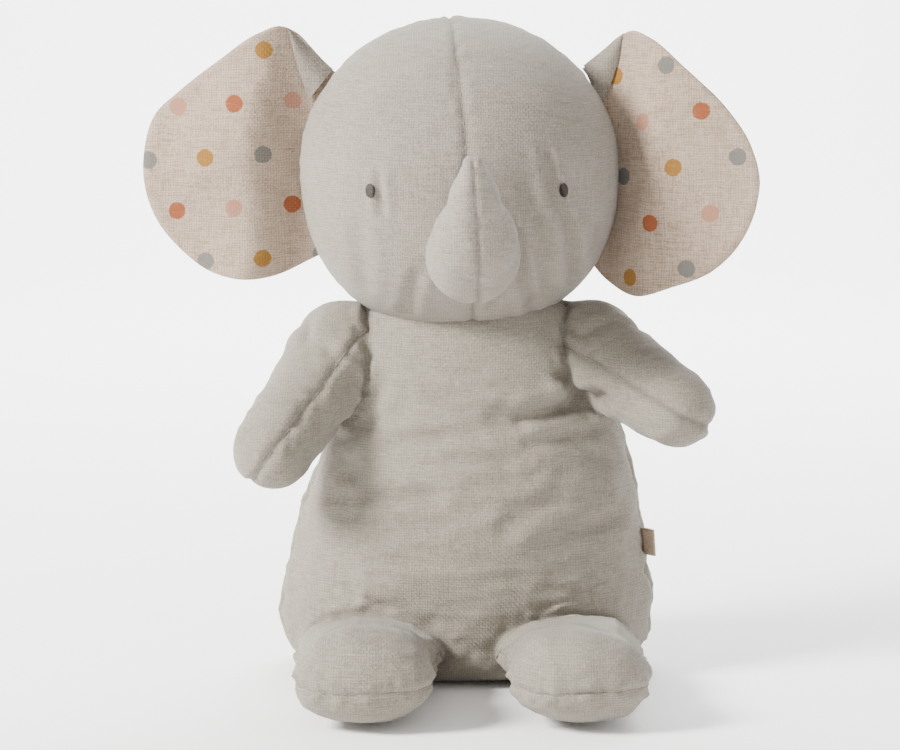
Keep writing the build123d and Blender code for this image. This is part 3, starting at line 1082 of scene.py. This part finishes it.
def make_head():
    """Panels and seams of the head and trunk, cut from one smooth form."""
    balls = [(1.0, (0, 0, HEAD_UP), (HEAD_WIDTH - 1, HEAD_DEPTH - 1, HEAD_TALL - 1))]
    balls.append((1.0, (0, 0, 42), (52, 50, 44)))
    for (y0, z0, r0), (y1, z1, r1) in zip(TRUNK_BALLS, TRUNK_BALLS[1:]):
        balls += chain(np.array([0, y0, z0]), np.array([0, y1, z1]), r0, r1, 5)
    mesh = skin("head", balls, head_distance, FORM_STEP)
    bm = bmesh.new()
    bm.from_mesh(mesh)
    cut_where(bm, trunk_past, lambda p: p[:, 1] < -35)
    cut_where(bm, neck_edge)
    cut_where(bm, centre_seam)
    cut_where(bm, crown_seam)
    points = cut_points(bm)
    shift = head_shift_out(points)
    finished = from_head(points + normals_of(head_distance, points) * shift[:, None])
    # painted shade: how much darker the cloth is painted along the centre and crown seams and under the
    # head's lower edge
    crease_shade = groove(centre_seam(points), 1, 0.9) + groove(crown_seam(points), 1, 1.0)
    crease_shade = np.clip(crease_shade + 0.8 * groove(neck_edge(points), 1, 1.6), 0, 1)

    centres = face_centres(bm)
    kept = neck_edge(centres) > 0
    trunk = on_trunk(centres)
    left = centre_seam(centres) > 0
    back = crown_seam(centres) > 0
    head_blend = ("neck", "head", *(NECK + np.array([0, 0, height]) for height in NECK_BEND))
    root = np.concatenate(border_lines(bm, finished, list(trunk)))
    tip = from_head(np.array([0, TRUNK_BALLS[-1][0], TRUNK_BALLS[-1][1]]))
    trunk_blend = ("head", "trunk", *bend_from(root, tip, TRUNK_BEND))
    for side, on_side in (("left", left), ("right", ~left)):
        for place, chosen in (("front", ~back), ("back", back)):
            name = "head_" + place + "_" + side
            faces = np.flatnonzero(kept & ~trunk & on_side & chosen)
            nodes = [name + "_panel"] + (["head_stuffing"] if name == "head_front_left" else [])
            obj = piece_from(bm, name, faces, finished, crease_shade)
            dress(obj, "head", nodes, blend=head_blend)
        name = "trunk_" + side
        nodes = [name + "_panel"] + (["trunk_stuffing"] if side == "left" else [])
        obj = piece_from(bm, name, np.flatnonzero(trunk & on_side), finished, crease_shade)
        dress(obj, "head", nodes, blend=trunk_blend)
    on_head = kept & ~trunk
    for name, inside, first, node, hold in (
            ("head_centre_stitches", on_head, left, "head_centre_seam", head_blend),
            ("head_crown_stitches", on_head, back, "head_crown_seam", head_blend),
            ("trunk_stitches", trunk, left, "trunk_seam", trunk_blend)):
        stitches(name, bm, finished, inside, first, [node], HEAD_THREAD_R, blend=hold)
    everywhere = np.ones(len(centres), bool)
    stitches("neck_stitches", bm, finished, everywhere, kept, ["neck_seam", "neck_stuffing"],
             NECK_THREAD_R, body="neck")
    bm.free()


# ------------------------------------------------------------ eyes
EYE_X = 34.5
EYE_UP = {"left": 47.6, "right": 52.4}
EYE_WIDE = 3.4
EYE_TALL = 5.2
EYE_START_Y = -48.0        # where the search for the face's surface starts


def make_eyes():
    """Eyes of close satin stitches on the face."""
    for side, sign in SIGN.items():
        bm = bmesh.new()
        bmesh.ops.create_uvsphere(bm, u_segments=40, v_segments=24, radius=1.0)
        spots = np.array([v.co[:] for v in bm.verts])
        flat = spots * np.array([EYE_WIDE / 2, 1.0, EYE_TALL / 2])
        stitches = 0.10 * np.abs(np.sin(flat[:, 2] * pi / 0.42))
        target = flat + np.array([sign * EYE_X, 0, EYE_UP[side]])
        target[:, 1] = EYE_START_Y
        for _ in range(12):
            target[:, 1] += head_distance(target) - head_shift_out(target)
        target[:, 1] += flat[:, 1] * (0.75 + stitches) - 0.15
        for vert, spot in zip(bm.verts, from_head(target)):
            vert.co = Vector(spot * MM)
        obj = object_from(bm, "eye_stitches_" + side)
        dress(obj, "eye", ["eye_" + side], body="head")


# ------------------------------------------------------------ ears
EAR_FORWARD = {"left": radians(25.0), "right": 0.0}
EAR_LEAN = {"left": radians(5.0), "right": 0.0}
# outward and up from the ear's root, from the lower end of the root round to the upper end
EAR_EDGE = {
    "right": [(-11, -31), (-3, -35), (9, -40), (22, -41), (34, -37.6), (43.5, -30.5), (51.5, -21),
              (56.5, -8), (57, 6), (53, 19.5), (43.5, 28.5), (29, 39.5), (14, 49.5), (6, 52), (1, 50),
              (-6, 43), (-13, 35)],
    "left": [(-11, -30), (-2, -38), (6, -41), (14, -42), (28, -37), (42, -29.5), (51.5, -18),
             (55.5, -5), (55.5, 5), (50.5, 18), (40.5, 30), (24, 43), (8, 53), (0, 54.5), (-5, 52),
             (-11, 46), (-17, 39)],
}
# corners of the pleat at the upper root, top, inner and low: outward and up
PLEAT = {"right": [(3.5, 51.5), (-13, 36), (-4, 25)], "left": [(-3, 53.5), (-18, 40), (-8, 27)]}
HEAD_ROUND = 56.0
EAR_STEPS_ROUND = 120
EAR_STEPS_OUT = 44
EAR_THICK = 0.9


def ear_surface(side):
    """Flat places on the ear: rows from the lower root end to the upper, columns from root to edge."""
    edge = np.array(EAR_EDGE[side], float)
    spacing = np.concatenate([[0], np.cumsum(np.linalg.norm(np.diff(edge, axis=0), axis=1))])
    at = np.linspace(0, spacing[-1], EAR_STEPS_ROUND)
    outer = np.stack([curve_value(list(zip(spacing, edge[:, k])), at) for k in range(2)], axis=1)
    part = np.linspace(0, 1, EAR_STEPS_ROUND)
    root = edge[0] + (edge[-1] - edge[0]) * part[:, None]
    root[:, 0] = -HEAD_WIDTH * (1 - np.sqrt(1 - (root[:, 1] / HEAD_ROUND) ** 2)) - 2.0
    out = np.linspace(0, 1, EAR_STEPS_OUT)
    return root[:, None, :] + (outer - root)[:, None, :] * out[None, :, None], out


def ear_place(flat, forward, side):
    """From flat cloth coordinates and a forward distance to the row frame."""
    sign = SIGN[side]
    lean = EAR_LEAN[side]
    swing = EAR_FORWARD[side]
    u, v = flat[..., 0], flat[..., 1]
    across = u * cos(lean) + v * sin(lean)
    up = v * cos(lean) - u * sin(lean)
    x = across * cos(swing) - forward * sin(swing)
    y = -across * sin(swing) - forward * cos(swing)
    return EAR_ROOT[side] + np.stack([sign * x, y, up], axis=-1)


def ear_cup(flat, side):
    """How far the ear's cloth stands forward of its flat plane."""
    u, v = flat[..., 0], flat[..., 1]
    lower = 1 - smooth_step(v, 10, 50)
    cup = (5.5 + 6.0 * lower) * smooth_step(u, -6, 14 + 6 * lower) - 7.0 * smooth_step(u, 18, 58)
    ripple = 1.5 * np.sin(v * 0.10 + u * 0.045 + (1.2 if side == "left" else 0.0)) * smooth_step(u, 8, 40)
    shape = flat.reshape(-1, 2)
    solid = np.stack([shape[:, 0], shape[:, 1], np.zeros(len(shape))], axis=1)
    rumple = 0.5 * noise(solid, 11.0, 21) + 0.25 * noise(solid, 5.0, 22)
    return cup + ripple + rumple.reshape(u.shape)


def grid_piece(name, spots, flat):
    """A sheet from a grid of places, with its flat coordinates kept for the print."""
    rows, columns = spots.shape[:2]
    index = np.arange(rows * columns).reshape(rows, columns)
    corners = [index[:-1, :-1], index[1:, :-1], index[1:, 1:], index[:-1, 1:]]
    faces = np.stack(corners, axis=-1).reshape(-1, 4)
    mesh = bpy.data.meshes.new(name)
    mesh.from_pydata((spots.reshape(-1, 3) * MM).tolist(), [], faces.tolist())
    attribute = mesh.attributes.new("flat", "FLOAT_VECTOR", "POINT")
    flat3 = np.concatenate([flat.reshape(-1, 2), np.zeros((rows * columns, 1))], axis=1)
    attribute.data.foreach_set("vector", flat3.astype(np.float32).ravel())
    return add_object(name, mesh)


def add_pleat(obj, side):
    """The fold of grey cloth at the upper root, lying over the lining."""
    top, inner, low = [np.array(spot, float) for spot in PLEAT[side]]
    steps = 14
    rows = []
    for i in range(steps + 1):
        s = i / steps
        start = top + (low - top) * s
        end = top + (inner - top) * s
        row = []
        for k in range(steps + 1):
            t = k / steps
            flat = start + (end - start) * t + np.array([0.8, 0.3]) * sin(pi * s) * (1 - t)
            rise = 0.9 + 3.4 * sin(pi * min(t * 0.9 + 0.1, 1.0)) * s ** 0.7
            row.append(ear_place(flat, ear_cup(flat[None, :], side)[0] + rise, side))
        rows.append(row)
    bm = bmesh.new()
    bm.from_mesh(obj.data)
    verts = [[bm.verts.new(Vector(spot * MM)) for spot in row] for row in rows]
    for first, second in zip(verts, verts[1:]):
        for k in range(steps):
            face = bm.faces.new([first[k], second[k], second[k + 1], first[k + 1]])
            face.smooth = True
    bmesh.ops.remove_doubles(bm, verts=[v for row in verts for v in row], dist=0.00001)
    bm.to_mesh(obj.data)
    bm.free()


def make_ears():
    """Each ear: a dotted lining and a grey back that meet at a sewn edge."""
    for side, sign in SIGN.items():
        flat, out = ear_surface(side)
        cup = ear_cup(flat, side)
        edge_in = np.minimum(1 - out, 0.06) / 0.06
        rounding = np.sqrt(np.clip(1 - (1 - edge_in) ** 2, 0, 1))[None, :]
        seam = 0.35 * np.exp(-((1 - out) / 0.05) ** 2)[None, :]
        hold = ("head", "ear_" + side, EAR_ROOT[side], ear_place(np.array([14.0, 0]), np.array(0.0), side))
        for layer, way, material, slot in (("lining", 1.0, "lining_" + side, "ear_lining"),
                                           ("back", -1.0, "ear_back", "ear_back_linen")):
            spots = ear_place(flat, cup + way * (EAR_THICK * rounding + seam), side)
            obj = grid_piece("ear_" + side + "_" + layer + "_cloth", spots, flat)
            if layer == "back":
                add_pleat(obj, side)
            dress(obj, material, ["ear_" + side + "_" + layer], blend=hold)


# ------------------------------------------------------------ label
def make_label():
    """A folded tape in the left side seam, left blank."""
    low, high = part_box("label")
    low, high = np.array(low) / MM, np.array(high) / MM
    root = np.array([low[0] - 1.5, high[1] + 0.5, (low[2] + high[2]) / 2])
    steps = 24
    bm = bmesh.new()
    rings = []
    for i in range(steps + 1):
        t = i / steps
        reach = 6.5 * sin(pi * t) ** 0.8
        gap = 1.1 * (t - 0.5) * 2 * (1 - 0.5 * abs(2 * t - 1))
        out = np.array([0.60, -0.80, 0]) * reach + np.array([0.80, 0.60, 0]) * gap * 0.6
        ring = []
        for up in np.linspace(-5, 5, 9):
            slant = np.array([-0.25 * up * 0.3, -0.2 * up * 0.3, up])
            ring.append(bm.verts.new(Vector((root + out + slant) * MM)))
        rings.append(ring)
    for first, second in zip(rings, rings[1:]):
        for a in range(8):
            bm.faces.new([first[a], first[a + 1], second[a + 1], second[a]])
    obj = object_from(bm, "label_tape")
    solid = obj.modifiers.new("thick", "SOLIDIFY")
    solid.thickness = 0.35 * MM
    dress(obj, "tape", ["label"], body="label")


# ------------------------------------------------------------ floor, light and camera
CAMERA_AT = np.array([-6.0, 0.0, 110.0])
CAMERA_FAR = 1100.0
SENSOR = 36.0
CAMERA_UP = radians(7.0)
VIEW_WIDE = 337.5


def make_stage():
    """A pale floor that curves up into a wall, a white world and soft lights."""
    profile = [(-4.0, 0.0)]
    for i in range(17):
        angle = pi / 2 * i / 16
        profile.append((1.6 + 1.0 * sin(angle), 1.0 - 1.0 * cos(angle)))
    profile.append((2.6, 5.0))
    spots = [(x, y, z - 0.0004) for x in (-5.0, 5.0) for y, z in profile]
    count = len(profile)
    faces = [(i, i + count, i + count + 1, i + 1) for i in range(count - 1)]
    mesh = bpy.data.meshes.new("floor")
    mesh.from_pydata(spots, [], faces)
    floor = add_object("floor", mesh)
    material, nodes, links = new_material("pale_floor")
    shader = nodes.new("ShaderNodeBsdfPrincipled")
    shader.inputs["Base Color"].default_value = (0.97, 0.97, 0.97, 1)
    shader.inputs["Roughness"].default_value = 0.9
    out = nodes.new("ShaderNodeOutputMaterial")
    links.new(shader.outputs[0], out.inputs["Surface"])
    floor.data.materials.append(material)

    world = bpy.data.worlds.new("studio")
    bpy.context.scene.world = world
    world.use_nodes = True
    background = world.node_tree.nodes["Background"].inputs
    background["Color"].default_value = (1, 1, 1, 1)
    background["Strength"].default_value = 0.98

    for name, place, size, power, colour in (
            ("key", (-1.2, -0.6, 0.95), 0.5, 84.0, (1.0, 0.98, 0.95)),
            ("fill", (1.1, -0.8, 0.5), 1.0, 2.4, (1.0, 0.99, 0.98)),
            ("rim", (0.5, 0.8, 1.1), 0.8, 12.0, (1, 1, 1)),
            ("wall", (0.0, 1.2, 1.6), 1.6, 130.0, (1, 1, 1))):
        data = bpy.data.lights.new(name, "AREA")
        data.shape = "DISK"
        data.size = size
        data.energy = power
        data.color = colour
        lamp = bpy.data.objects.new(name, data)
        lamp.location = place
        target = Vector((0, 2.4, 0.2)) if name == "wall" else Vector((0, -0.02, 0.12))
        aim = target - Vector(place)
        lamp.rotation_euler = aim.to_track_quat("-Z", "Y").to_euler()
        bpy.context.collection.objects.link(lamp)


def make_camera():
    """A long lens from the front, a little above the middle of the toy."""
    data = bpy.data.cameras.new("camera")
    data.sensor_width = SENSOR
    data.lens = SENSOR * CAMERA_FAR / VIEW_WIDE
    data.clip_start = 0.01
    camera = bpy.data.objects.new("camera", data)
    away = np.array([0, -cos(CAMERA_UP), sin(CAMERA_UP)]) * CAMERA_FAR
    camera.location = Vector((CAMERA_AT + away) * MM)
    camera.rotation_euler = (pi / 2 - CAMERA_UP, 0, 0)
    bpy.context.collection.objects.link(camera)
    bpy.context.scene.camera = camera


make_body()
make_head()
make_eyes()
make_ears()
make_label()
make_stage()
make_camera()
